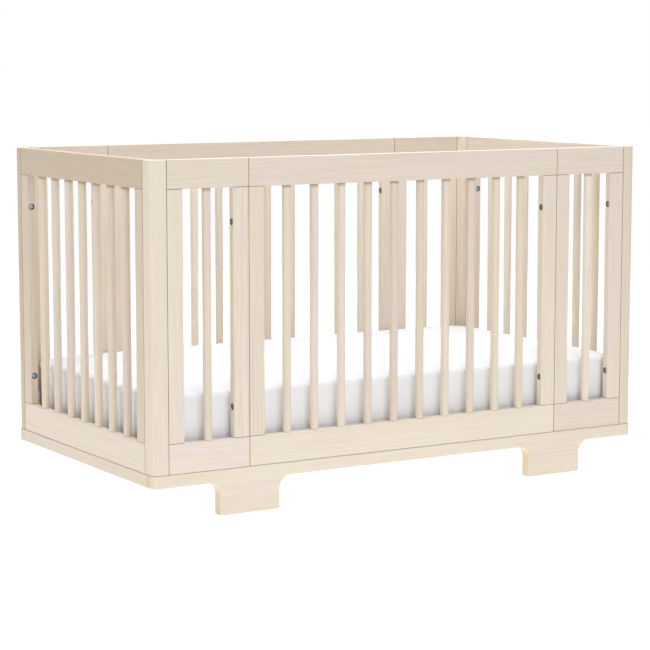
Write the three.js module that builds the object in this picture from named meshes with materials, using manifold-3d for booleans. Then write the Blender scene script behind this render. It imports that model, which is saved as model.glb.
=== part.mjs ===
// A full-size baby crib: four corner posts on a footed base, eight slatted panels bolted between the
// posts, and a height-adjustable steel support that carries the mattress.
// Millimetres, +Z up. X runs along the length, the front is towards -Y, and the feet stand on Z = 0.
import * as THREE from 'three';
import { mergeVertices } from 'three/addons/utils/BufferGeometryUtils.js';
import Module from 'manifold-3d';

const wasm = await Module();
wasm.setup();

// ---- Driving dimensions ----

const crib = { length: 1374, width: 758, height: 820 };
const timber = 20;                    // thickness of the posts' legs, the rails and the stiles
const woodJoint = 0.3;                // clearance where two wooden pieces meet

const post = { leg: 40, outerRadius: 20, coveRadius: 5 };
const stile = { width: 40 };
const rail = { topHeight: 66, bottomHeight: 70 };
const smallPanelWidth = 209;          // the narrow panels beside each post, on the front and the rear

const slat = { diameter: 20, tenonDiameter: 12, tenonLength: 12 };
const socketClearance = { radius: 0.3, depth: 0.6 };
const slatCount = { centre: 10, small: 1, end: 7 };

const base = { clearance: 78, boardHeight: 30, thickness: 27, proud: 2 };
const foot = { centre: 438, width: 158, filletRadius: 30 };

const mattress = { thickness: 150, cornerRadius: 45 };
const mattressClearance = { end: 9, side: 10, under: 0.3 };
const support = { flange: 25, depth: 22, wall: 2.5, strapWidth: 30, strapCount: 9 };
const supportSideClearance = 10;
const bracket = { thickness: 3, width: 36, height: 96, shelf: 28, holeDiameter: 7, holeSpacing: 50 };
const bracketClearance = { stile: 0.5, frame: 0.4, base: 4.6 };  // at the support's lowest position

const arcSteps = 8;                   // straight steps in each quarter circle of an outline
const roundSides = 10;                // flat sides that stand for the round of a slat, socket or hole
const weldDistance = 1e-4;            // vertices nearer than this are one vertex
const overrun = 1;                    // how far a shaping solid runs past the piece that it shapes

// ---- Materials ----

function wood(color) {
  return new THREE.MeshStandardMaterial({ color, roughness: 0.55, metalness: 0 });
}

const material = {
  post: () => wood(0xe6dbc9),
  panel: () => wood(0xe3d7c5),
  slat: () => wood(0xe4d6c2),
  base: () => wood(0xe2d6c4),
  mattress: () => new THREE.MeshStandardMaterial({ color: 0xf7f7f8, roughness: 0.9, metalness: 0 }),
  steel: () => new THREE.MeshStandardMaterial({ color: 0xd9dadc, roughness: 0.4, metalness: 0.6 }),
};

// ---- Solids ----

function toSolid(geometry) {
  const bare = geometry.clone();
  bare.deleteAttribute('normal');
  bare.deleteAttribute('uv');
  const merged = mergeVertices(bare, weldDistance);
  const vertProperties = new Float32Array(merged.attributes.position.array);
  const triVerts = new Uint32Array(merged.index.array);
  return new wasm.Manifold(new wasm.Mesh({ numProp: 3, vertProperties, triVerts }));
}

function toGeometry(solid) {
  const mesh = solid.getMesh();
  const geometry = new THREE.BufferGeometry();
  geometry.setAttribute('position', new THREE.BufferAttribute(mesh.vertProperties, 3));
  geometry.setIndex(new THREE.BufferAttribute(mesh.triVerts, 1));
  geometry.computeVertexNormals();
  return geometry;
}

function joined(geometries) {
  return toGeometry(geometries.map(toSolid).reduce((all, next) => all.add(next)));
}

function cut(geometry, tools) {
  return toGeometry(tools.map(toSolid).reduce((left, tool) => left.subtract(tool), toSolid(geometry)));
}

function common(first, second) {
  return toGeometry(toSolid(first).intersect(toSolid(second)));
}

// A box given by its ranges along X, Y and Z.
function block([x0, x1], [y0, y1], [z0, z1]) {
  const box = new THREE.BoxGeometry(x1 - x0, y1 - y0, z1 - z0);
  return box.translate((x0 + x1) / 2, (y0 + y1) / 2, (z0 + z1) / 2);
}

// A flat shape in X and Y, raised from z0 to z1.
function raised(shape, z0, z1) {
  const options = { depth: z1 - z0, bevelEnabled: false, curveSegments: arcSteps };
  return new THREE.ExtrudeGeometry(shape, options).translate(0, 0, z0);
}

// A shape whose X and Y stand for X and Z, made thick from y0 to y1.
function upright(shape, y0, y1) {
  const options = { depth: y1 - y0, bevelEnabled: false, curveSegments: arcSteps };
  const board = new THREE.ExtrudeGeometry(shape, options);
  return board.rotateX(Math.PI / 2).translate(0, y1, 0);
}

function rectangle(x0, x1, y0, y1) {
  return new THREE.Shape([
    new THREE.Vector2(x0, y0),
    new THREE.Vector2(x1, y0),
    new THREE.Vector2(x1, y1),
    new THREE.Vector2(x0, y1),
  ]);
}

function roundedRectangle(halfX, halfY, radius) {
  const shape = new THREE.Shape();
  shape.absarc(halfX - radius, halfY - radius, radius, 0, Math.PI / 2);
  shape.absarc(radius - halfX, halfY - radius, radius, Math.PI / 2, Math.PI);
  shape.absarc(radius - halfX, radius - halfY, radius, Math.PI, 1.5 * Math.PI);
  shape.absarc(halfX - radius, radius - halfY, radius, 1.5 * Math.PI, 2 * Math.PI);
  shape.closePath();
  return shape;
}

function verticalRod(radius, z0, z1) {
  const rod = new THREE.CylinderGeometry(radius, radius, z1 - z0, roundSides);
  return rod.rotateX(Math.PI / 2).translate(0, 0, (z0 + z1) / 2);
}

function named(name, geometry, finish) {
  const mesh = new THREE.Mesh(geometry, finish);
  mesh.name = name;
  return mesh;
}

// ---- Sizes that follow from the driving ones ----

const halfLength = crib.length / 2;
const halfWidth = crib.width / 2;
const inside = { halfLength: halfLength - timber, halfWidth: halfWidth - timber };
const baseTop = base.clearance + base.boardHeight;
const panelBottom = baseTop + woodJoint;
const windowBottom = panelBottom + rail.bottomHeight;
const windowTop = crib.height - rail.topHeight;
const bracketBottom = baseTop + bracketClearance.base;
const shelfTop = bracketBottom + bracket.thickness;
const supportBottom = shelfTop + bracketClearance.frame;
const supportTop = supportBottom + support.depth;
const supportHalf = {
  x: inside.halfLength - bracketClearance.stile - bracket.thickness - bracketClearance.frame,
  y: inside.halfWidth - supportSideClearance,
};

// ---- Corner posts: an angle section, rounded outside and coved inside ----

function postSection() {
  const { leg, outerRadius, coveRadius } = post;
  const cove = timber + coveRadius;
  const shape = new THREE.Shape();
  shape.moveTo(outerRadius, 0);
  shape.lineTo(leg, 0);
  shape.lineTo(leg, timber);
  shape.lineTo(cove, timber);
  shape.absarc(cove, cove, coveRadius, 1.5 * Math.PI, Math.PI, true);
  shape.lineTo(timber, leg);
  shape.lineTo(0, leg);
  shape.lineTo(0, outerRadius);
  shape.absarc(outerRadius, outerRadius, outerRadius, Math.PI, 1.5 * Math.PI);
  return shape;
}

function cornerPosts() {
  const corners = [
    { name: 'post_front_left', x: -1, y: -1 },
    { name: 'post_front_right', x: 1, y: -1 },
    { name: 'post_rear_right', x: 1, y: 1 },
    { name: 'post_rear_left', x: -1, y: 1 },
  ];
  return corners.map(({ name, x, y }, turn) => {
    const mesh = named(name, raised(postSection(), panelBottom, crib.height), material.post());
    mesh.position.set(x * halfLength, y * halfWidth, 0);
    mesh.rotation.z = (turn * Math.PI) / 2;
    return mesh;
  });
}

// ---- Slatted panels: a frame of rails and stiles with round slats socketed into the rails ----

// Distances of the slats from the panel's middle: all gaps between slats and stiles are alike.
function slatPlaces(width, count) {
  const windowWidth = width - 2 * stile.width;
  const gap = (windowWidth - count * slat.diameter) / (count + 1);
  const pitch = gap + slat.diameter;
  return Array.from({ length: count }, (_, i) => (i - (count - 1) / 2) * pitch);
}

// The frame stands in the XZ plane, with its middle at X = 0 and its thickness centred on Y = 0.
function panelFrame(width, count) {
  const outline = rectangle(-width / 2, width / 2, panelBottom, crib.height);
  const windowHalf = width / 2 - stile.width;
  outline.holes.push(rectangle(-windowHalf, windowHalf, windowBottom, windowTop));
  const frame = upright(outline, -timber / 2, timber / 2);
  const radius = slat.tenonDiameter / 2 + socketClearance.radius;
  const depth = slat.tenonLength + socketClearance.depth;
  const sockets = slatPlaces(width, count).flatMap((x) =>
    [windowBottom, windowTop].map((z) =>
      verticalRod(radius, z - depth, z + depth).translate(x, 0, 0)));
  return cut(frame, sockets);
}

// A round slat with a thinner tenon at each end, turned about its own upright axis.
function panelSlat() {
  const body = slat.diameter / 2;
  const tenon = slat.tenonDiameter / 2;
  const shoulders = [windowBottom + woodJoint, windowTop - woodJoint];
  const ends = [windowBottom - slat.tenonLength, windowTop + slat.tenonLength];
  const profile = [
    [0, ends[0]], [tenon, ends[0]], [tenon, shoulders[0]], [body, shoulders[0]],
    [body, shoulders[1]], [tenon, shoulders[1]], [tenon, ends[1]], [0, ends[1]],
  ].map(([radius, height]) => new THREE.Vector2(radius, height));
  return new THREE.LatheGeometry(profile, roundSides).rotateX(Math.PI / 2);
}

// One panel: its frame and its numbered slats, centred at the wall's local X.
function panel(name, x, width, count) {
  const group = new THREE.Group();
  group.add(named(`${name}_frame`, panelFrame(width, count), material.panel()));
  slatPlaces(width, count).forEach((place, i) => {
    const mesh = named(`${name}_slat_${i + 1}`, panelSlat(), material.slat());
    mesh.position.x = place;
    group.add(mesh);
  });
  group.position.x = x;
  return group;
}

// The three panels of the front or the rear wall, which lies between two posts' legs.
function longWall(side) {
  const wallWidth = crib.length - 2 * post.leg - 2 * woodJoint;
  const centreWidth = wallWidth - 2 * smallPanelWidth - 2 * woodJoint;
  const smallCentre = (wallWidth - smallPanelWidth) / 2;
  const wall = new THREE.Group();
  wall.add(panel(`${side}_left_panel`, -smallCentre, smallPanelWidth, slatCount.small));
  wall.add(panel(`${side}_centre_panel`, 0, centreWidth, slatCount.centre));
  wall.add(panel(`${side}_right_panel`, smallCentre, smallPanelWidth, slatCount.small));
  const outward = side === 'front' ? -1 : 1;
  wall.position.y = outward * (halfWidth - timber / 2);
  return wall;
}

function endWall(side) {
  const width = crib.width - 2 * post.leg - 2 * woodJoint;
  const wall = new THREE.Group();
  wall.add(panel(`${side}_end_panel`, 0, width, slatCount.end));
  const outward = side === 'left' ? -1 : 1;
  wall.position.x = outward * (halfLength - timber / 2);
  wall.rotation.z = Math.PI / 2;
  return wall;
}

// ---- Base: long boards with feet at the front and the rear, short boards between them ----

const baseHalf = { x: halfLength + base.proud, y: halfWidth + base.proud };

// The long board's outline in X and Z: each foot meets the board in a concave fillet on both sides.
function footedOutline() {
  const { centre, width, filletRadius: r } = foot;
  const top = baseTop;
  const under = base.clearance;
  const shape = new THREE.Shape();
  shape.moveTo(-baseHalf.x, top);
  shape.lineTo(-baseHalf.x, under);
  for (const middle of [-centre, centre]) {
    const left = middle - width / 2;
    const right = middle + width / 2;
    shape.lineTo(left - r, under);
    shape.absarc(left - r, under - r, r, Math.PI / 2, 0, true);
    shape.lineTo(left, 0);
    shape.lineTo(right, 0);
    shape.lineTo(right, under - r);
    shape.absarc(right + r, under - r, r, Math.PI, Math.PI / 2, true);
  }
  shape.lineTo(baseHalf.x, under);
  shape.lineTo(baseHalf.x, top);
  return shape;
}

// The long board seen from above: its two outer corners are rounded concentric with the posts.
function roundedBoardPlan() {
  const radius = post.outerRadius + base.proud;
  const inner = base.thickness - baseHalf.y;
  const shape = new THREE.Shape();
  shape.moveTo(baseHalf.x, inner);
  shape.lineTo(-baseHalf.x, inner);
  shape.absarc(radius - baseHalf.x, radius - baseHalf.y, radius, Math.PI, 1.5 * Math.PI);
  shape.absarc(baseHalf.x - radius, radius - baseHalf.y, radius, 1.5 * Math.PI, 2 * Math.PI);
  return shape;
}

function longBoard() {
  const board = upright(footedOutline(), -baseHalf.y - overrun, base.thickness - baseHalf.y + overrun);
  return common(board, raised(roundedBoardPlan(), -overrun, baseTop + overrun));
}

function baseBoards() {
  const front = named('base_front_rail', longBoard(), material.base());
  const rear = named('base_rear_rail', longBoard(), material.base());
  rear.rotation.z = Math.PI;
  const halfSpan = baseHalf.y - base.thickness - woodJoint;
  const ends = [['base_left_rail', -1], ['base_right_rail', 1]].map(([name, outward]) => {
    const thick = [-base.thickness / 2, base.thickness / 2];
    const board = block(thick, [-halfSpan, halfSpan], [base.clearance, baseTop]);
    const mesh = named(name, board, material.base());
    mesh.position.x = outward * (baseHalf.x - base.thickness / 2);
    return mesh;
  });
  return [front, rear, ...ends];
}

// ---- Mattress support: a welded steel frame with cross straps, hung on four corner brackets ----

// A rectangular ring of the frame's outer size, as wide all round as its rim.
function frameRing(rim, z0, z1) {
  const { x, y } = supportHalf;
  const ring = rectangle(-x, x, -y, y);
  ring.holes.push(rectangle(rim - x, x - rim, rim - y, y - rim));
  return raised(ring, z0, z1);
}

// Angle steel with its flange on top and facing inwards, and straps welded across, flush with it.
function supportFrame() {
  const strapBottom = supportTop - support.wall;
  const flange = frameRing(support.flange, strapBottom, supportTop);
  const skirt = frameRing(support.wall, supportBottom, supportTop);
  const openHalf = supportHalf.x - support.flange;
  const pitch = (2 * openHalf) / (support.strapCount + 1);
  const reach = supportHalf.y - support.flange / 2;  // each strap's end laps half of the flange
  const straps = Array.from({ length: support.strapCount }, (_, i) => {
    const middle = (i + 1) * pitch - openHalf;
    const along = [middle - support.strapWidth / 2, middle + support.strapWidth / 2];
    return block(along, [-reach, reach], [strapBottom, supportTop]);
  });
  return joined([flange, skirt, ...straps]);
}

// A corner bracket at the left end: an upright plate against the stile, and a shelf under the frame.
function cornerBracket() {
  const plateOuter = -inside.halfLength + bracketClearance.stile;
  const plateInner = plateOuter + bracket.thickness;
  const wide = [-bracket.width / 2, bracket.width / 2];
  const plateTop = bracketBottom + bracket.height;
  const plate = block([plateOuter, plateInner], wide, [bracketBottom, plateTop]);
  const shelf = block([plateOuter, plateOuter + bracket.shelf], wide, [bracketBottom, shelfTop]);
  const upperHole = plateTop - bracket.width / 2;
  const holes = [upperHole, upperHole - bracket.holeSpacing].map((z) => {
    const drill = verticalRod(bracket.holeDiameter / 2, -bracket.thickness, bracket.thickness);
    return drill.rotateY(Math.PI / 2).translate((plateOuter + plateInner) / 2, 0, z);
  });
  return cut(joined([plate, shelf]), holes);
}

function mattressSupport() {
  const frame = named('mattress_support_frame', supportFrame(), material.steel());
  const stileMiddle = halfWidth - post.leg - woodJoint - stile.width / 2;
  const corners = [
    { name: 'support_bracket_front_left', y: -1, turn: 0 },
    { name: 'support_bracket_rear_left', y: 1, turn: 0 },
    { name: 'support_bracket_front_right', y: -1, turn: Math.PI },
    { name: 'support_bracket_rear_right', y: 1, turn: Math.PI },
  ];
  const brackets = corners.map(({ name, y, turn }) => {
    const mesh = named(name, cornerBracket(), material.steel());
    mesh.position.y = y * stileMiddle;
    mesh.rotation.z = turn;
    return mesh;
  });
  return [frame, ...brackets];
}

// ---- Mattress ----

function mattressBlock() {
  const halfX = inside.halfLength - mattressClearance.end;
  const halfY = inside.halfWidth - mattressClearance.side;
  const plan = roundedRectangle(halfX, halfY, mattress.cornerRadius);
  const bottom = supportTop + mattressClearance.under;
  return named('mattress', raised(plan, bottom, bottom + mattress.thickness), material.mattress());
}

// ---- Assembly ----

const group = new THREE.Group();
group.add(...baseBoards());
group.add(...cornerPosts());
group.add(longWall('front'), longWall('rear'), endWall('left'), endWall('right'));
group.add(...mattressSupport());
group.add(mattressBlock());

export default group;
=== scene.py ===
import math
import random

import bmesh
import bpy
from mathutils import Matrix, Vector, noise


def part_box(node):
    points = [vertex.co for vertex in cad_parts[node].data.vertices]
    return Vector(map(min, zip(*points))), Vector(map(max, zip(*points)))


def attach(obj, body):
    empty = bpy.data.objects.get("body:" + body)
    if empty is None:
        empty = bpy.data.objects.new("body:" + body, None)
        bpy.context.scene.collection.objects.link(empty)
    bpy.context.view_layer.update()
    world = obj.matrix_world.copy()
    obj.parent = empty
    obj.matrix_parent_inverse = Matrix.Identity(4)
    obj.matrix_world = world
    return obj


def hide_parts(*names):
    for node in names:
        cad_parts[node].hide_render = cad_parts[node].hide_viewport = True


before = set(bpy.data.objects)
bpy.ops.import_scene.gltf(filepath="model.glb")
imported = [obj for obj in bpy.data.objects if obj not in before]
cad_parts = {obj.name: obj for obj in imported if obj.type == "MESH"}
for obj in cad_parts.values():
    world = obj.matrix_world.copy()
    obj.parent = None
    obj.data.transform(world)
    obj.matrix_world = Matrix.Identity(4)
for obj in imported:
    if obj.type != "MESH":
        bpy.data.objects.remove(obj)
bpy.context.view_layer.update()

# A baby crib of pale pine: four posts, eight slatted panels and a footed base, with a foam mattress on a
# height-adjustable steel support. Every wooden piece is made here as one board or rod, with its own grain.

MM = 0.001
X, Y, Z = Vector((1, 0, 0)), Vector((0, 1, 0)), Vector((0, 0, 1))

# ---- Sizes that the CAD nodes' boxes don't give ----

STILE_WIDTH = 40 * MM
TENON_LENGTH, TENON_RADIUS = 12 * MM, 6 * MM
SOCKET_RADIUS, SOCKET_DEPTH = 6.3 * MM, 12.6 * MM
TIMBER = 20 * MM
POST_RADIUS, POST_COVE = 20 * MM, 5 * MM
FOOT_CENTRE, FOOT_WIDTH, FOOT_FILLET = 438 * MM, 158 * MM, 30 * MM
BOARD_HEIGHT, BOARD_THICKNESS, BASE_PROUD = 30 * MM, 27 * MM, 2 * MM

EASE = 1.6 * MM                 # the sanded roundness of an edge that shows
JOINT_EASE = 0.8 * MM           # the fine groove's half width where two pieces meet
BASE_EASE = 3.0 * MM
RAIL_ROUNDOVER = 4.5 * MM       # the bottom rails' upper edges, routed between the stiles
ROUNDOVER_STOP = 7 * MM         # how far from a stile the routing stops
ROUNDOVER_RUNOUT = 7 * MM       # the length over which it runs out
LEAST_RADIUS = 0.05 * MM

BOLT_HEIGHTS = (250 * MM, 675 * MM)
COUNTERBORE_RADIUS, COUNTERBORE_DEPTH = 7.8 * MM, 11 * MM
BOLT_RADIUS, BOLT_RECESS = 5.4 * MM, 2.8 * MM
INSERT_RADIUS, INSERT_BORE, INSERT_DEPTH = 5 * MM, 3.2 * MM, 13 * MM
SUPPORT_STEP, SUPPORT_STEPS = 105 * MM, 4
BRACKET_HOLES = (28 * MM, 78 * MM)     # above the bracket's lowest edge
BRACKET_THICKNESS = 3 * MM
BRACKET_HOLE_RADIUS = 3.5 * MM
SLAT_RADIUS = 10 * MM
SLAT_TOP_PAINTED_SHADE = 9 * MM             # painted shade over this length, under the top rail where a slat enters it
MANY_POINTS_RADIUS = 6 * MM     # outline corners from this radius up get more points


# ---- Meshes ----

def link(name, mesh):
    obj = bpy.data.objects.new(name, mesh)
    bpy.context.scene.collection.objects.link(obj)
    return obj


def mesh_object(name, bm):
    mesh = bpy.data.meshes.new(name)
    bm.to_mesh(mesh)
    bm.free()
    return link(name, mesh)


def apply_modifiers(obj):
    graph = bpy.context.evaluated_depsgraph_get()
    made = bpy.data.meshes.new_from_object(obj.evaluated_get(graph), depsgraph=graph)
    old = obj.data
    obj.modifiers.clear()
    obj.data = made
    bpy.data.meshes.remove(old)


def smooth(obj):
    """Smooth shading that keeps the broad faces flat."""
    for polygon in obj.data.polygons:
        polygon.use_smooth = True
    weighted = obj.modifiers.new("flat_faces", "WEIGHTED_NORMAL")
    weighted.weight = 100
    weighted.keep_sharp = True


def frame_of(origin, u, v, s):
    """The matrix that puts a section's (u, v) and the distance s along its sweep into the shared frame."""
    columns = Matrix((u, v, s)).transposed().to_4x4()
    return Matrix.Translation(origin) @ columns


def section(corners, inset=0.0):
    """Points (u, v, joint) of an outline given anticlockwise by its corners (u, v, radius, joint).
    Each side is moved inwards by inset, and each corner is an arc. joint is 1 inside a joint's groove."""
    count = len(corners)
    sides = []
    for i, (u, v, _, _) in enumerate(corners):
        next_u, next_v = corners[(i + 1) % count][:2]
        length = math.hypot(next_u - u, next_v - v)
        du, dv = (next_u - u) / length, (next_v - v) / length
        sides.append((u - dv * inset, v + du * inset, du, dv))
    points = []
    for i, (_, _, radius, joint) in enumerate(corners):
        au, av, adu, adv = sides[i - 1]
        bu, bv, bdu, bdv = sides[i]
        cross = adu * bdv - adv * bdu
        along = ((bu - au) * bdv - (bv - av) * bdu) / cross
        corner = Vector((au + along * adu, av + along * adv))
        turn = math.atan2(cross, adu * bdu + adv * bdv)
        r = max(radius - inset, LEAST_RADIUS) if turn > 0 else radius + inset
        start = corner - r * math.tan(abs(turn) / 2) * Vector((adu, adv))
        centre = start + math.copysign(r, turn) * Vector((-adv, adu))
        steps = 4 if radius < MANY_POINTS_RADIUS else 12
        for k in range(steps + 1):
            point = centre + Matrix.Rotation(turn * k / steps, 2) @ (start - centre)
            points.append((point.x, point.y, float(joint and 0 < k < steps)))
    return points


def eased_ends(start, end, ease_start, ease_end, joint_start=False, joint_end=False, middle=()):
    """Stations (s, inset, joint) of a sweep whose two end edges are rounded."""
    steps = 4
    stations = []
    for k in range(steps + 1):
        angle = math.pi / 2 * k / steps
        groove = float(joint_start and 0 < k < steps)
        s = start + ease_start * (1 - math.cos(angle))
        stations.append((s, ease_start * (1 - math.sin(angle)), groove))
    stations += [(s, 0.0, 0.0) for s in middle]
    for k in range(steps, -1, -1):
        angle = math.pi / 2 * k / steps
        groove = float(joint_end and 0 < k < steps)
        s = end - ease_end * (1 - math.cos(angle))
        stations.append((s, ease_end * (1 - math.sin(angle)), groove))
    return stations


def sweep(name, outline, stations, place):
    """A solid whose outline(s, inset) is swept along s, in the frame that place gives."""
    bm = bmesh.new()
    layer = bm.verts.layers.float.new("joint")
    rings = []
    for number, (s, inset, groove) in enumerate(stations):
        ring = []
        at_cap = number in (0, len(stations) - 1)
        for u, v, joint in section(outline(s, inset), inset):
            vert = bm.verts.new(place @ Vector((u, v, s)))
            vert[layer] = 0.0 if at_cap else max(joint, groove)
            ring.append(vert)
        rings.append(ring)
    count = len(rings[0])
    for a, b in zip(rings, rings[1:]):
        for i in range(count):
            j = (i + 1) % count
            bm.faces.new((a[i], a[j], b[j], b[i]))
    bm.faces.new(list(reversed(rings[0])))
    bm.faces.new(rings[-1])
    bmesh.ops.recalc_face_normals(bm, faces=bm.faces)
    return mesh_object(name, bm)


def lathe(bm, profile, place, sides=32, hexagon=()):
    """Adds a turned solid: profile is a list of (radius, s). Rings whose number is in hexagon are
    six-sided."""
    rings = []
    for number, (radius, s) in enumerate(profile):
        ring = []
        for i in range(sides):
            angle = 2 * math.pi * i / sides
            r = radius
            if number in hexagon:
                sixth = math.pi / 3
                r = radius * math.cos(sixth / 2) / math.cos(angle % sixth - sixth / 2)
            ring.append(bm.verts.new(place @ Vector((r * math.cos(angle), r * math.sin(angle), s))))
        rings.append(ring)
    for a, b in zip(rings, rings[1:]):
        for i in range(sides):
            j = (i + 1) % sides
            bm.faces.new((a[i], a[j], b[j], b[i]))
    bm.faces.new(list(reversed(rings[0])))
    bm.faces.new(rings[-1])


def frame_towards(mouth, direction):
    """A frame at mouth whose s axis points along direction."""
    s = direction.normalized()
    u = s.orthogonal().normalized()
    return frame_of(mouth, u, s.cross(u), s)


def drill(obj, holes):
    """Cuts round blind holes, each (mouth, inward direction, radius, depth). Their insides are darkened
    with the joints' colour as painted shade in the hollows."""
    grooves = {tuple(round(c, 6) for c in v.co): obj.data.attributes["joint"].data[v.index].value
               for v in obj.data.vertices}
    bm = bmesh.new()
    overrun, lip = 2 * MM, 0.5 * MM
    for mouth, inward, radius, depth in holes:
        lathe(bm, [(radius, -overrun), (radius, lip), (radius, depth)], frame_towards(mouth, inward))
    bmesh.ops.recalc_face_normals(bm, faces=bm.faces)
    cutter = mesh_object("cutter", bm)
    boolean = obj.modifiers.new("holes", "BOOLEAN")
    boolean.object = cutter
    boolean.solver = "EXACT"
    apply_modifiers(obj)
    bpy.data.objects.remove(cutter)
    old = obj.data.attributes.get("joint")
    if old:
        obj.data.attributes.remove(old)
    layer = obj.data.attributes.new("joint", "FLOAT", "POINT")

    def inside(point):
        """Whether a vertex lies deeper in a hole than its lip."""
        for mouth, inward, radius, _ in holes:
            away = point - mouth
            deep = away.dot(inward)
            if deep > lip / 2 and (away - inward * deep).length < radius + lip:
                return True
        return False

    for v in obj.data.vertices:
        known = grooves.get(tuple(round(c, 6) for c in v.co))
        layer.data[v.index].value = known if known is not None else float(inside(v.co))


# ---- Wood ----

# For grain along each axis: the two axes across it, then the axis itself.
ACROSS = {"x": (1, 2, 0), "y": (2, 0, 1), "z": (0, 1, 2)}

PITH_DISTANCE = (35, 130)       # mm from the board's middle to the log's pith
LEAN = 0.022                    # how far the log may lean against the board

# Boards whose tone is matched one by one to the photograph: below 0 darker and browner, above 0 paler. The
# values are partly the boards' own tone and partly painted light: the darker left end, rear top rails and
# rear-left post carry painted shade, and the paler lower front boards carry painted light.
BOARD_TONE_AND_PAINTED_LIGHT = {
    "left_end_panel_top_rail": -6.4,
    "left_end_panel_left_stile": -3.4,
    "left_end_panel_right_stile": -3.0,
    "left_end_panel_bottom_rail": 0.6,
    "post_rear_left_timber": -6.5,
    "rear_centre_panel_top_rail": -2.0,
    "rear_left_panel_top_rail": -1.6,
    "rear_right_panel_top_rail": -2.0,
    "base_left_rail_timber": -1.2,
    "post_front_right_timber": -1.6,
    "base_front_rail_timber": 0.8,
    "front_centre_panel_bottom_rail": 1.2,
    "front_left_panel_bottom_rail": 1.2,
}


def lay_grain(obj, along, lightness, hue):
    """Gives a piece its place in an imagined log: "grain" holds each point's place with the pith as its
    third axis, and "tone" how the board differs from its neighbours in lightness and in hue, and where its
    end grain shows. For the boards in the table of board tones the lightness is partly painted shade and
    light."""
    draw = random.Random(obj.name)
    points = [v.co for v in obj.data.vertices]
    low = Vector([min(p[i] for p in points) for i in range(3)])
    high = Vector([max(p[i] for p in points) for i in range(3)])
    middle = (low + high) / 2
    turn = draw.uniform(0, 2 * math.pi)
    pith = Vector((math.cos(turn), math.sin(turn))) * draw.uniform(*PITH_DISTANCE) * MM
    lean = Vector((draw.uniform(-1, 1), draw.uniform(-1, 1))) * LEAN
    shift = draw.uniform(0, 40)
    grain = obj.data.attributes.new("grain", "FLOAT_VECTOR", "POINT")
    for v in obj.data.vertices:
        a, b, c = (v.co[i] - middle[i] for i in ACROSS[along])
        grain.data[v.index].vector = (a + pith.x + lean.x * c, b + pith.y + lean.y * c, c + shift)
    tone = obj.data.attributes.new("tone", "FLOAT_VECTOR", "POINT")
    light, warm = lightness + draw.gauss(0, 0.35), hue + draw.gauss(0, 0.5)
    light = BOARD_TONE_AND_PAINTED_LIGHT.get(obj.name, light)
    length_axis = ACROSS[along][2]
    for v in obj.data.vertices:
        tone.data[v.index].vector = (light, warm, abs(v.normal[length_axis]))


def as_wood(obj, along, *nodes, lightness=0.0, hue=0.0):
    smooth(obj)
    lay_grain(obj, along, lightness, hue)
    obj.data.materials.clear()
    obj.data.materials.append(wood)
    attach(obj, "crib")
    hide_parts(*nodes)


# ---- Node materials ----

class Tree:
    """A material's node tree with a short way to add nodes."""

    def __init__(self, name):
        self.material = bpy.data.materials.new(name)
        self.material.use_nodes = True
        self.nodes = self.material.node_tree.nodes
        self.links = self.material.node_tree.links
        self.shader = self.nodes["Principled BSDF"]

    def set(self, node, sockets):
        for key, value in sockets.items():
            if isinstance(value, bpy.types.NodeSocket):
                self.links.new(value, node.inputs[key])
            else:
                node.inputs[key].default_value = value

    def add(self, kind, sockets=None, **settings):
        node = self.nodes.new("ShaderNode" + kind)
        for key, value in settings.items():
            setattr(node, key, value)
        self.set(node, sockets or {})
        return node

    def math(self, operation, a, b=0.0, c=0.0):
        return self.add("Math", {0: a, 1: b, 2: c}, operation=operation).outputs[0]

    def vector(self, operation, a, b=(0, 0, 0)):
        node = self.add("VectorMath", {0: a, 1: b}, operation=operation)
        return node.outputs["Value" if operation == "LENGTH" else "Vector"]

    def noise(self, place, scale, detail=2.0, roughness=0.5):
        sockets = {"Vector": place, "Scale": scale, "Detail": detail, "Roughness": roughness}
        return self.add("TexNoise", sockets)

    def spread(self, value, low, high, to_low=0.0, to_high=1.0):
        sockets = {"Value": value, "From Min": low, "From Max": high, "To Min": to_low, "To Max": to_high}
        return self.add("MapRange", sockets, interpolation_type="SMOOTHSTEP").outputs[0]

    def mix(self, share, a, b, blend="MIX"):
        node = self.add("Mix", data_type="RGBA", blend_type=blend)
        self.set(node, {0: share, 6: a, 7: b})
        return node.outputs[2]

    def bump(self, height, strength, distance, normal=None):
        sockets = {"Height": height, "Strength": strength, "Distance": distance}
        if normal:
            sockets["Normal"] = normal
        return self.add("Bump", sockets).outputs[0]


def linear(red, green, blue):
    """A display colour, 0 to 255, as the shader's linear one."""
    def one(c):
        c /= 255
        return c / 12.92 if c <= 0.04045 else ((c + 0.055) / 1.055) ** 2.4
    return (one(red), one(green), one(blue), 1.0)


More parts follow.
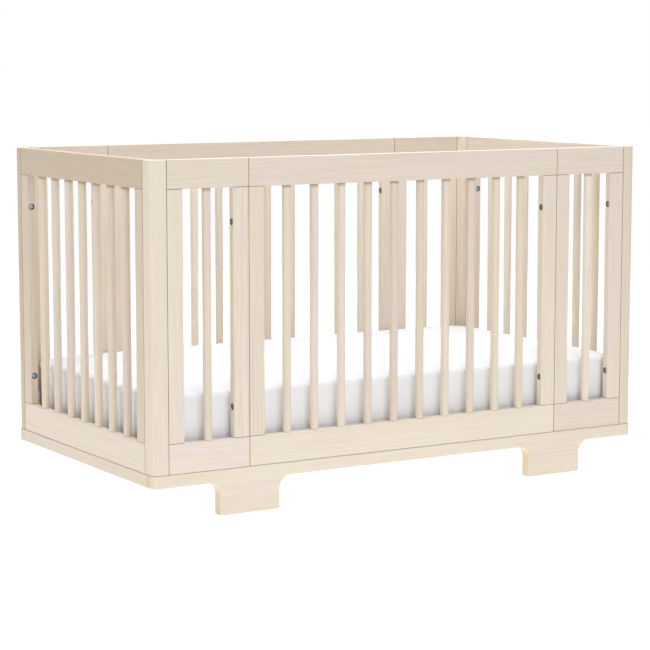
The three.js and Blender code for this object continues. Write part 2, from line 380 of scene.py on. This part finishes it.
def wood_material():
    """Pale, washed pine: soft growth rings, fine fibres, slow pink and straw-coloured streaks."""
    t = Tree("pale_pine")
    grain = t.add("Attribute", attribute_name="grain").outputs["Vector"]
    tone = t.add("SeparateXYZ", {0: t.add("Attribute", attribute_name="tone").outputs["Vector"]})
    groove = t.add("Attribute", attribute_name="joint").outputs["Fac"]

    slow = t.vector("MULTIPLY", grain, (1, 1, 0.10))
    warp = t.noise(slow, 14.0, 2.0).outputs["Color"]
    warp = t.vector("MULTIPLY", t.vector("SUBTRACT", warp, (0.5, 0.5, 0.5)), (0.016, 0.016, 0.0))
    from_pith = t.vector("LENGTH", t.vector("MULTIPLY", t.vector("ADD", grain, warp), (1, 1, 0)))
    ring_width = 5.6 * MM
    drift = t.math("MULTIPLY", t.noise(slow, 42.0, 1.0).outputs["Fac"], 1.6)
    phase = t.math("FRACT", t.math("ADD", t.math("DIVIDE", from_pith, ring_width), drift))
    late = t.spread(phase, 0.35, 0.86)
    late = t.math("MULTIPLY", late, t.spread(phase, 1.0, 0.90))
    ring_strength = t.spread(t.noise(slow, 11.0).outputs["Fac"], 0.34, 0.70, 0.05, 1.0)
    late = t.math("MULTIPLY", late, ring_strength)

    streaks = t.noise(t.vector("MULTIPLY", grain, (1, 1, 0.020)), 190.0, 3.0, 0.6).outputs["Fac"]
    fibres = t.noise(t.vector("MULTIPLY", grain, (1, 1, 0.016)), 1100.0, 2.0, 0.6).outputs["Fac"]
    blotches = t.noise(t.vector("MULTIPLY", grain, (1, 1, 0.16)), 24.0, 2.0).outputs["Fac"]

    pink, straw = linear(237, 222, 210), linear(238, 226, 205)
    hue = t.math("ADD", blotches, t.math("MULTIPLY", tone.outputs["Y"], 0.16))
    colour = t.mix(t.spread(hue, 0.30, 0.70), pink, straw)
    colour = t.mix(t.math("MULTIPLY", late, 0.23), colour, linear(208, 182, 156))
    colour = t.mix(t.spread(streaks, 0.42, 0.72, 0.0, 0.26), colour, linear(214, 194, 174))
    colour = t.mix(t.spread(fibres, 0.50, 0.80, 0.0, 0.22), colour, linear(198, 174, 150))
    # Each board's lightness darkens and warms it; for the boards in the table of board tones this is partly
    # painted shade and light.
    tan_shares = (0.035, 0.043, 0.055)       # of red, green and blue, for each step of lightness
    tan = [t.math("ADD", 1.0, t.math("MULTIPLY", tone.outputs["X"], share)) for share in tan_shares]
    colour = t.mix(1.0, colour, t.add("CombineXYZ", dict(enumerate(tan))).outputs[0], "MULTIPLY")
    end_grain = t.spread(tone.outputs["Z"], 0.45, 1.0, 0.0, 0.75)
    colour = t.mix(end_grain, colour, t.mix(late, linear(232, 216, 184), linear(206, 176, 130)))
    # Dark brown in the joints' grooves; through the same mask, painted shade inside the drilled holes and
    # on the slats' tops under the top rails.
    colour = t.mix(t.math("MULTIPLY", groove, 0.95), colour, linear(122, 82, 44))

    height = t.math("ADD", t.math("MULTIPLY", fibres, 0.6), t.math("MULTIPLY", streaks, 0.4))
    t.set(t.shader, {
        "Base Color": colour,
        "Roughness": t.spread(streaks, 0.3, 0.8, 0.50, 0.62),
        "Specular IOR Level": 0.5,
        "Coat Weight": 0.35,
        "Coat Roughness": 0.28,
        "Normal": t.bump(height, 0.22, 0.35 * MM),
    })
    return t.material


def zinc_material():
    """Bright zinc plating, slightly blue, with fine turning marks and dull patches."""
    t = Tree("zinc_plate")
    place = t.add("TexCoord").outputs["Object"]
    patches = t.noise(place, 260.0, 3.0).outputs["Fac"]
    marks = t.noise(place, 2600.0, 2.0).outputs["Fac"]
    t.set(t.shader, {
        "Base Color": t.mix(t.spread(patches, 0.35, 0.65), linear(150, 182, 204), linear(184, 206, 220)),
        "Metallic": 1.0,
        "Roughness": t.spread(patches, 0.3, 0.7, 0.30, 0.46),
        "Normal": t.bump(marks, 0.12, 0.1 * MM),
    })
    return t.material


def paint_material():
    """Light grey powder coat: a fine orange-peel texture, a little rubbed."""
    t = Tree("powder_coat")
    place = t.add("TexCoord").outputs["Object"]
    peel = t.noise(place, 900.0, 2.0).outputs["Fac"]
    rubbed = t.noise(place, 45.0, 4.0, 0.65).outputs["Fac"]
    t.set(t.shader, {
        "Base Color": t.mix(t.spread(rubbed, 0.45, 0.75), linear(206, 207, 209), linear(190, 191, 194)),
        "Roughness": t.spread(rubbed, 0.3, 0.7, 0.42, 0.58),
        "Normal": t.bump(peel, 0.25, 0.12 * MM),
    })
    return t.material


def cover_material():
    """A white cotton cover: a fine plain weave, soft slubs and a little sheen."""
    t = Tree("cotton_cover")
    place = t.add("TexCoord").outputs["Object"]
    thread = 2 * math.pi / (0.9 * MM)
    axes = t.add("SeparateXYZ", {0: t.vector("MULTIPLY", place, (thread, thread, thread))})
    waves = [t.math("SINE", axes.outputs[i]) for i in range(3)]
    weave = t.math("ADD", t.math("ADD", waves[0], waves[1]), waves[2])
    slubs = t.noise(t.vector("MULTIPLY", place, (1, 1, 4)), 170.0, 3.0, 0.6).outputs["Fac"]
    soft = t.noise(place, 16.0, 2.0).outputs["Fac"]
    height = t.math("ADD", t.math("MULTIPLY", weave, 0.16), slubs)
    t.set(t.shader, {
        "Base Color": t.mix(t.spread(slubs, 0.35, 0.75), linear(250, 251, 253), linear(244, 245, 248)),
        "Roughness": t.spread(soft, 0.3, 0.7, 0.82, 0.92),
        "Specular IOR Level": 0.25,
        "Sheen Weight": 0.15,
        "Sheen Roughness": 0.5,
        "Normal": t.bump(height, 0.30, 0.25 * MM),
    })
    return t.material


wood = wood_material()
zinc = zinc_material()
paint = paint_material()
cover = cover_material()


# ---- Camera and light ----

def make_camera():
    """The eye is 5.5 m away, a little above the top rails, and sees the front and the left end."""
    eye = Vector((-2.8283, -4.6592, 1.0647))
    yaw, down = 0.5447, 0.1274
    camera = bpy.data.objects.new("camera", bpy.data.cameras.new("camera"))
    camera.data.lens = 119.46
    camera.data.sensor_width = 36.0
    camera.location = eye
    camera.rotation_euler = (math.pi / 2 - down, 0, -yaw)
    bpy.context.scene.collection.objects.link(camera)
    bpy.context.scene.camera = camera


def area_light(name, place, target, size, power, tint=(1, 1, 1)):
    data = bpy.data.lights.new(name, "AREA")
    data.shape = "RECTANGLE"
    data.size, data.size_y = size
    data.energy = power
    data.color = tint
    lamp = bpy.data.objects.new(name, data)
    lamp.location = place
    lamp.rotation_euler = (Vector(target) - Vector(place)).to_track_quat("-Z", "Y").to_euler()
    bpy.context.scene.collection.objects.link(lamp)


COOL, WARM = (0.97, 1.0, 1.04), (1.0, 0.98, 0.94)


def make_light():
    """A white room: a key in front, weaker fills at the left end and behind, a wide lamp overhead, and
    light off the floor."""
    scene = bpy.context.scene
    scene.view_settings.view_transform = "Standard"
    world = bpy.data.worlds.new("studio")
    world.use_nodes = True
    world.node_tree.nodes["Background"].inputs["Color"].default_value = (1, 1, 1, 1)
    world.node_tree.nodes["Background"].inputs["Strength"].default_value = 0.10
    scene.world = world
    middle = (0, 0, 0.4)
    area_light("key", (-0.9, -5.3, 3.4), middle, (4.5, 3.0), 120, COOL)
    area_light("left_fill", (-5.3, -0.6, 3.0), middle, (3.0, 2.5), 52, WARM)
    area_light("overhead", (0.0, 0.3, 4.2), middle, (4.5, 3.5), 158, COOL)
    area_light("rear_fill", (3.6, 4.6, 3.0), middle, (3.0, 2.5), 46, COOL)


def glowing(name, glow, reflectance):
    t = Tree(name)
    t.set(t.shader, {"Base Color": (reflectance, reflectance, reflectance, 1), "Roughness": 0.9,
                     "Specular IOR Level": 0.1, "Emission Color": (*glow, 1), "Emission Strength": 1.0})
    return t.material


def make_stage():
    """A pale glowing floor, and round it a white wall that is seen and mirrored but gives no light."""
    bm = bmesh.new()
    bmesh.ops.create_circle(bm, cap_ends=True, segments=96, radius=5)
    bmesh.ops.translate(bm, verts=bm.verts, vec=(0, 0, -0.3 * MM))
    floor = mesh_object("floor", bm)
    floor.data.materials.append(glowing("floor_white", (0.86, 0.835, 0.80), 0.4))
    bm = bmesh.new()
    bmesh.ops.create_uvsphere(bm, u_segments=48, v_segments=24, radius=40)
    wall = mesh_object("backdrop", bm)
    wall.data.materials.append(glowing("backdrop_white", (1.0, 1.0, 1.0), 0.0))
    wall.visible_diffuse = wall.visible_transmission = False
    wall.visible_shadow = False


# ---- Posts and base ----

def make_post(name):
    low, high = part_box(name)
    middle = (low + high) / 2
    side = Vector((math.copysign(1, middle.x), math.copysign(1, middle.y)))
    outer = Vector((high.x if side.x > 0 else low.x, high.y if side.y > 0 else low.y, 0))
    leg = high.x - low.x
    corners = [
        (0, 0, POST_RADIUS, False),
        (leg, 0, JOINT_EASE, True),
        (leg, TIMBER, JOINT_EASE, True),
        (TIMBER, TIMBER, POST_COVE, False),
        (TIMBER, leg, JOINT_EASE, True),
        (0, leg, JOINT_EASE, True),
    ]
    place = frame_of(outer, -X * side.x, -Y * side.y, Z)
    stations = eased_ends(low.z, high.z, JOINT_EASE, EASE, joint_start=True)
    post = sweep(name + "_timber", lambda s, inset: corners, stations, place)
    as_wood(post, "z", name, lightness=0.9, hue=0.6)


def make_long_board(name, outward):
    """The front or rear board with its two feet: fillets in the outline, and rounded outer corners in
    plan."""
    low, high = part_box(name)
    half, top = high.x, high.z
    under = top - BOARD_HEIGHT
    corner = POST_RADIUS + BASE_PROUD

    def outline(s, inset):
        """The ends come in round the plan's corner radius, at the distance s behind the outer face."""
        reach = corner - min(s, corner)
        end = half - corner + math.sqrt(max(corner ** 2 - reach ** 2, 0)) + inset
        feet = []
        for centre in (-FOOT_CENTRE, FOOT_CENTRE):
            left, right = centre - FOOT_WIDTH / 2, centre + FOOT_WIDTH / 2
            feet += [(left, under, FOOT_FILLET, False), (left, 0, BASE_EASE, False),
                     (right, 0, BASE_EASE, False), (right, under, FOOT_FILLET, False)]
        return [(-end, top, BASE_EASE, False), (-end, under, BASE_EASE, False), *feet,
                (end, under, BASE_EASE, False), (end, top, BASE_EASE, False)]

    turns = [corner * (1 - math.cos(math.radians(a))) for a in range(34, 90, 7)]
    stations = eased_ends(0, BOARD_THICKNESS, BASE_EASE, EASE, middle=[s for s in turns if s > BASE_EASE])
    face = Vector((0, low.y if outward < 0 else high.y, 0))
    place = frame_of(face, X, Z, Y * -outward)
    as_wood(sweep(name + "_timber", outline, stations, place), "x", name)


def make_short_board(name, outward):
    low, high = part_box(name)
    x_out, x_in = (low.x, high.x) if outward < 0 else (high.x, low.x)
    thickness = abs(x_in - x_out)
    corners = [(0, low.z, BASE_EASE, False), (thickness, low.z, EASE, False),
               (thickness, high.z, EASE, False), (0, high.z, BASE_EASE, False)]
    place = frame_of(Vector((x_out, 0, 0)), X * -outward, Z, Y)
    stations = eased_ends(low.y, high.y, JOINT_EASE, JOINT_EASE, True, True)
    as_wood(sweep(name + "_timber", lambda s, inset: corners, stations, place), "y", name)


# ---- Panels ----

def rail_outline(thickness, z0, z1, joint_high, routed, window):
    """A rail's section. Its long edges are joints where the stiles stand on it or hang from it, and the
    bottom rail, which is the routed one, also sits on the base along its whole length."""
    def radius_at(s):
        """The routed upper edge's radius at the distance s along the rail."""
        from_stop = min(s - window[0], window[1] - s) - ROUNDOVER_STOP
        share = max(0.0, min(1.0, from_stop / ROUNDOVER_RUNOUT))
        return JOINT_EASE + (RAIL_ROUNDOVER - JOINT_EASE) * math.sqrt(share * (2 - share))

    def outline(s, inset):
        upper = radius_at(s) if routed else (JOINT_EASE if joint_high else EASE)
        half = thickness / 2
        at_stile = s < window[0] or s > window[1]
        joint_low = routed or at_stile
        return [(-half, z0, JOINT_EASE, joint_low), (half, z0, JOINT_EASE, joint_low),
                (half, z1, upper, joint_high and at_stile), (-half, z1, upper, joint_high and at_stile)]
    return outline


def make_panel(node):
    """A panel's two rails and two stiles stand for its frame, and a turned rod for each slat."""
    low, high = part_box(node)
    panel_name = node[:-len("_frame")]
    slats = sorted(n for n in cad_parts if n.startswith(panel_name + "_slat_"))
    slat_low, slat_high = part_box(slats[0])
    window_z = (slat_low.z + TENON_LENGTH, slat_high.z - TENON_LENGTH)
    across = Y if high.y - low.y > high.x - low.x else X
    out = X if across is Y else Y
    letter = "y" if across is Y else "x"
    middle = (low + high) / 2
    base_point = Vector((middle.x, middle.y, 0))
    half = (high - low).dot(across) / 2
    thickness = (high - low).dot(out)
    window = (STILE_WIDTH - half, half - STILE_WIDTH)
    centres = [(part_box(n)[0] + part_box(n)[1]) / 2 for n in slats]

    rail_place = frame_of(base_point, out, Z, across)
    run = [window[0] - JOINT_EASE, window[0] + JOINT_EASE]
    run += [window[0] + ROUNDOVER_STOP + ROUNDOVER_RUNOUT * k / 4 for k in range(5)]
    run += [-s for s in reversed(run)]
    stations = eased_ends(-half, half, JOINT_EASE, JOINT_EASE, True, True, run)
    bottom = rail_outline(thickness, low.z, window_z[0], True, True, window)
    top = rail_outline(thickness, window_z[1], high.z, False, False, window)
    rails = (("bottom_rail", bottom, window_z[0], -Z), ("top_rail", top, window_z[1], Z))
    for name, outline, z, into in rails:
        rail = sweep(f"{panel_name}_{name}", outline, stations, rail_place)
        mouths = [Vector((c.x, c.y, z)) for c in centres]
        drill(rail, [(mouth, into, SOCKET_RADIUS, SOCKET_DEPTH) for mouth in mouths])
        as_wood(rail, letter, node)

    stile_half = STILE_WIDTH / 2
    for side, sign in (("left", -1), ("right", 1)):
        inner, outer = -sign * stile_half, sign * stile_half
        corners = [(-stile_half, -thickness / 2), (stile_half, -thickness / 2),
                   (stile_half, thickness / 2), (-stile_half, thickness / 2)]
        corners = [(u, v, JOINT_EASE if u * sign > 0 else EASE, u * sign > 0) for u, v in corners]
        centre = base_point + across * sign * (half - stile_half)
        stations = eased_ends(window_z[0], window_z[1], JOINT_EASE, JOINT_EASE, True, True)
        stile = sweep(f"{panel_name}_{side}_stile", lambda s, inset: corners, stations,
                      frame_of(centre, across, out, Z))
        mouths = [centre + across * inner + Z * z for z in BOLT_HEIGHTS]
        holes = [(mouth, across * sign, COUNTERBORE_RADIUS, COUNTERBORE_DEPTH) for mouth in mouths]
        if across is Y:
            inward = X if middle.x < 0 else -X
            seats = [centre + inward * thickness / 2 + Z * z for z in insert_heights()]
            holes += [(seat, -inward, INSERT_RADIUS, INSERT_DEPTH) for seat in seats]
            inserts.extend((seat, inward) for seat in seats)
        drill(stile, holes)
        as_wood(stile, "z", node)
        bolts.extend((mouth, across * -sign) for mouth in mouths)
    for n in slats:
        make_slat(n)


draw_slat_tone = random.Random("slats")


def make_slat(node):
    low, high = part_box(node)
    middle = (low + high) / 2
    radius = SLAT_RADIUS
    shoulder, chamfer = TENON_LENGTH, 0.4 * MM
    length = high.z - low.z
    profile = [
        (0.5 * TENON_RADIUS, 0), (TENON_RADIUS, 0.5 * MM), (TENON_RADIUS, shoulder + 0.1 * MM),
        (radius - chamfer, shoulder + 0.1 * MM), (radius, shoulder + chamfer), (radius, length / 2),
        (radius, length - shoulder - SLAT_TOP_PAINTED_SHADE), (radius, length - shoulder - SLAT_TOP_PAINTED_SHADE / 3),
        (radius, length - shoulder - chamfer), (radius - chamfer, length - shoulder - 0.1 * MM),
        (TENON_RADIUS, length - shoulder - 0.1 * MM), (TENON_RADIUS, length - 0.5 * MM),
        (0.5 * TENON_RADIUS, length),
    ]
    bm = bmesh.new()
    lathe(bm, profile, Matrix.Translation((middle.x, middle.y, low.z)), sides=40)
    bmesh.ops.recalc_face_normals(bm, faces=bm.faces)
    rod = mesh_object(node + "_rod", bm)
    # The slat's top, just under the top rail, is darkened through the joint mask: painted shade.
    top_shade = rod.data.attributes.new("joint", "FLOAT", "POINT")
    for v in rod.data.vertices:
        near = 1 - (high.z - shoulder - v.co.z) / SLAT_TOP_PAINTED_SHADE
        top_shade.data[v.index].value = 0.75 * max(0.0, min(1.0, near))
    as_wood(rod, "z", node, lightness=draw_slat_tone.gauss(-0.4, 0.7), hue=0.4)


# ---- Hardware ----

bolts = []                      # each (mouth of its hole, outward direction), filled by make_panel
inserts = []                    # the same, for the support's threaded inserts in the end stiles


def insert_heights():
    """The heights of the inserts for the brackets' two bolts, at each of the support's four levels."""
    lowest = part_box("support_bracket_front_left")[0].z
    return [lowest + hole + SUPPORT_STEP * step for step in range(SUPPORT_STEPS) for hole in BRACKET_HOLES]


def make_inserts():
    for end, sign in (("left_end", 1), ("right_end", -1)):
        bm = bmesh.new()
        lip, under = 0.3 * MM, 0.2 * MM
        for seat, inward in inserts:
            if inward.x * sign > 0:
                profile = [(INSERT_RADIUS - lip, -INSERT_DEPTH + lip), (INSERT_RADIUS - lip, -under - lip),
                           (INSERT_RADIUS - 2 * lip, -under), (INSERT_BORE + lip, -under),
                           (INSERT_BORE, -under - lip), (INSERT_BORE, -INSERT_DEPTH + 4 * lip)]
                lathe(bm, profile, frame_towards(seat, inward), sides=28)
        bmesh.ops.recalc_face_normals(bm, faces=bm.faces)
        as_metal(mesh_object(f"{end}_inserts", bm), zinc, "crib")


def add_bolt(bm, seat, outward, head=4 * MM):
    """A zinc barrel-head bolt with a hexagon socket. seat is the middle of its outer face."""
    r, socket = BOLT_RADIUS, 2.9 * MM
    profile = [(r, -head), (r, -0.6 * MM), (r - 0.18 * MM, -0.18 * MM), (r - 0.6 * MM, 0),
               (socket + 0.5 * MM, 0), (socket, -0.4 * MM), (socket, -3 * MM)]
    lathe(bm, profile, frame_towards(seat, outward), sides=36, hexagon=(4, 5, 6))


def as_metal(obj, material, body):
    for polygon in obj.data.polygons:
        polygon.use_smooth = True
    obj.data.set_sharp_from_angle(angle=math.radians(35))
    obj.data.materials.append(material)
    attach(obj, body)


def make_panel_bolts():
    """Each wall's bolts are one piece."""
    walls = {"front": [], "rear": [], "left_end": [], "right_end": []}
    for mouth, outward in bolts:
        if abs(outward.x) > 0.5:
            walls["front" if mouth.y < 0 else "rear"].append((mouth, outward))
        else:
            walls["left_end" if mouth.x < 0 else "right_end"].append((mouth, outward))
    for wall, places in walls.items():
        bm = bmesh.new()
        for mouth, outward in places:
            add_bolt(bm, mouth - outward * BOLT_RECESS, outward, COUNTERBORE_DEPTH - BOLT_RECESS)
        bmesh.ops.recalc_face_normals(bm, faces=bm.faces)
        as_metal(mesh_object(f"{wall}_panel_bolts", bm), zinc, "crib")


def make_bracket(node):
    """A bent plate against the stile with a shelf under the frame, and two button-head bolts through it."""
    low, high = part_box(node)
    inward = X if high.x < 0 else -X
    outer = low.x if inward.x > 0 else high.x
    thick = BRACKET_THICKNESS
    corners = [(0, low.z, 4 * MM, False), (high.x - low.x, low.z, 0.8 * MM, False),
               (high.x - low.x, low.z + thick, 0.8 * MM, False), (thick, low.z + thick, 2 * MM, False),
               (thick, high.z, 0.8 * MM, False), (0, high.z, 0.8 * MM, False)]
    place = frame_of(Vector((outer, 0, 0)), inward, Z, Y)
    stations = eased_ends(low.y, high.y, 0.8 * MM, 0.8 * MM)
    plate = sweep(node + "_plate", lambda s, inset: corners, stations, place)
    middle = (low.y + high.y) / 2
    holes = [Vector((outer + inward.x * thick, middle, low.z + h)) for h in BRACKET_HOLES]
    drill(plate, [(hole, -inward, BRACKET_HOLE_RADIUS, 2 * thick) for hole in holes])
    plate.data.attributes.remove(plate.data.attributes["joint"])
    as_metal(plate, paint, "mattress_support")
    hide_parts(node)
    bm = bmesh.new()
    rise = 2.2 * MM
    for hole in holes:
        seat = hole + inward * rise
        profile = [(3 * MM, -rise - 2.4 * MM), (3 * MM, -rise), (5.5 * MM, -rise), (5.4 * MM, -0.9 * MM),
                   (4.4 * MM, -0.15 * MM), (3.2 * MM, 0), (2.3 * MM, 0), (2.0 * MM, -0.3 * MM),
                   (2.0 * MM, -1.6 * MM)]
        lathe(bm, profile, frame_towards(seat, inward), sides=36, hexagon=(6, 7, 8))
    bmesh.ops.recalc_face_normals(bm, faces=bm.faces)
    as_metal(mesh_object(node + "_bolts", bm), zinc, "mattress_support")


def make_support():
    """The welded frame keeps its CAD shape, with softened edges, and gets its weld beads."""
    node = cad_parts["mattress_support_frame"]
    node.data.materials.clear()
    node.data.materials.append(paint)
    soft = node.modifiers.new("soft_edges", "BEVEL")
    soft.width = 0.6 * MM
    soft.segments = 2
    soft.limit_method = "ANGLE"
    low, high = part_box("mattress_support_frame")
    flange, strap, count = 25 * MM, 30 * MM, 9
    pitch = (high.x - low.x - 2 * flange) / (count + 1)
    beads, bead_pitch, squeeze, bead_depth = 4, 2.2 * MM, 0.9, 2.6 * MM
    bm = bmesh.new()
    draw = random.Random("welds")
    for i in range(count):
        x = low.x + flange + pitch * (i + 1)
        for y in (low.y + flange, high.y - flange):
            for edge in (-strap / 2, strap / 2):
                for k in range(beads):
                    bead_y = y - math.copysign(k * bead_pitch, y) * squeeze
                    centre = Vector((x + edge, bead_y, high.z - bead_depth))
                    size = draw.uniform(1.5, 1.9) * MM
                    scale = Matrix.Diagonal((1, 1.1, 0.75, 1))
                    bmesh.ops.create_icosphere(bm, subdivisions=2, radius=size,
                                               matrix=Matrix.Translation(centre) @ scale)
    as_metal(mesh_object("support_weld_beads", bm), paint, "mattress_support")


# ---- Mattress ----

def make_mattress():
    """A foam mattress in a close cotton cover. It swells a little inside the cover, stays flat where
    it rests on the support, and is crowned on top."""
    low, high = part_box("mattress")
    size, middle = high - low, (low + high) / 2
    slack = Vector((3 * MM, 3 * MM, 2 * MM))
    half = size / 2 - slack
    plan_radius, upper_edge, lower_edge = 45 * MM, 9 * MM, 6 * MM
    corners = [(-half.x, -half.y, plan_radius, False), (half.x, -half.y, plan_radius, False),
               (half.x, half.y, plan_radius, False), (-half.x, half.y, plan_radius, False)]
    stations = eased_ends(middle.z - half.z, middle.z + half.z, lower_edge, upper_edge)
    place = Matrix.Translation((middle.x, middle.y, 0))
    pad = sweep("mattress_cover", lambda s, inset: corners, stations, place)
    pad.data.attributes.remove(pad.data.attributes["joint"])
    remesh = pad.modifiers.new("remesh", "REMESH")
    remesh.mode = "VOXEL"
    remesh.voxel_size = 7 * MM
    apply_modifiers(pad)
    rest = [v.co.copy() for v in pad.data.vertices]
    cloth = pad.modifiers.new("cloth", "CLOTH")
    cloth.settings.quality = 5
    cloth.settings.use_pressure = True
    cloth.settings.uniform_pressure_force = 4.0
    cloth.settings.effector_weights.gravity = 0.0
    cloth.point_cache.frame_start, cloth.point_cache.frame_end = 1, 20
    for number in range(1, 21):
        bpy.context.scene.frame_set(number)
    apply_modifiers(pad)
    bpy.context.scene.frame_set(1)
    cap = 3 * MM
    for v, before in zip(pad.data.vertices, rest):
        moved = v.co - before
        if moved.length > 0:
            v.co = before + moved.normalized() * cap * (1 - math.exp(-moved.length / cap))
    shape_mattress(pad, low, high)
    square_edges(pad, low, high, plan_radius)
    crown_mattress(pad, low, high)
    fine = pad.modifiers.new("fine", "SUBSURF")
    fine.levels = fine.render_levels = 1
    apply_modifiers(pad)
    for polygon in pad.data.polygons:
        polygon.use_smooth = True
    pad.data.materials.clear()
    pad.data.materials.append(cover)
    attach(pad, "mattress")
    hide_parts("mattress")


def shape_mattress(pad, low, high):
    """Fits the swollen pad to the mattress's real size and flattens its underside."""
    points = [v.co for v in pad.data.vertices]
    least = Vector([min(p[i] for p in points) for i in range(3)])
    most = Vector([max(p[i] for p in points) for i in range(3)])
    for v in pad.data.vertices:
        share = Vector([(v.co[i] - least[i]) / (most[i] - least[i]) for i in range(3)])
        fitted = Vector([low[i] + share[i] * (high[i] - low[i]) for i in range(3)])
        if fitted.z < low.z + 2 * MM:
            fitted.z = low.z
        v.co = fitted


def square_edges(pad, low, high, plan_radius):
    """Draws the cover tight over the foam's upper and lower edges, so that they are firm and nearly
    square."""
    reach, power = 14 * MM, 5
    middle, half = (low + high) / 2, (high - low) / 2
    for v in pad.data.vertices:
        from_middle = v.co - middle
        q = Vector((abs(from_middle.x) - half.x + plan_radius, abs(from_middle.y) - half.y + plan_radius))
        beyond = Vector((max(q.x, 0), max(q.y, 0)))
        inside = plan_radius - beyond.length - min(max(q.x, q.y), 0)
        from_side, from_face = reach - inside, reach - (half.z - abs(from_middle.z))
        if from_side <= 0 or from_face <= 0:
            continue
        length = (from_side ** power + from_face ** power) ** (1 / power)
        grow = reach / max(length, reach / 2) - 1
        if grow <= 0:
            continue
        if beyond.length > 0:
            out = beyond.normalized()
        else:
            out = Vector((1, 0)) if q.x > q.y else Vector((0, 1))
        v.co.x += math.copysign(out.x * from_side * grow, from_middle.x)
        v.co.y += math.copysign(out.y * from_side * grow, from_middle.y)
        v.co.z += math.copysign(from_face * grow, from_middle.z)


def crown_mattress(pad, low, high):
    """Raises the top into a full, nearly level crown that falls away near the edges, faintly uneven."""
    crown, drop, power = 12 * MM, 5 * MM, 8
    ripple, ripples_per_metre = 0.5 * MM, 9
    middle, half = (low + high) / 2, (high - low) / 2
    for v in pad.data.vertices:
        u, w = (v.co.x - middle.x) / half.x, (v.co.y - middle.y) / half.y
        up = max(0.0, (v.co.z - low.z) / (2 * half.z)) ** 2
        fullness = max(0.0, 1 - abs(u) ** (2 * power)) * max(0.0, 1 - abs(w) ** power)
        v.co.z += up * ((crown + drop) * fullness - drop + noise.noise(v.co * ripples_per_metre) * ripple)


# ---- Build ----

make_camera()
make_light()
make_stage()
for corner_name in ("front_left", "front_right", "rear_right", "rear_left"):
    make_post("post_" + corner_name)
make_long_board("base_front_rail", -1)
make_long_board("base_rear_rail", 1)
make_short_board("base_left_rail", -1)
make_short_board("base_right_rail", 1)
for frame_name in sorted(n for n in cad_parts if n.endswith("_panel_frame")):
    make_panel(frame_name)
make_panel_bolts()
make_inserts()
for bracket_name in sorted(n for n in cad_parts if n.startswith("support_bracket_")):
    make_bracket(bracket_name)
make_support()
make_mattress()
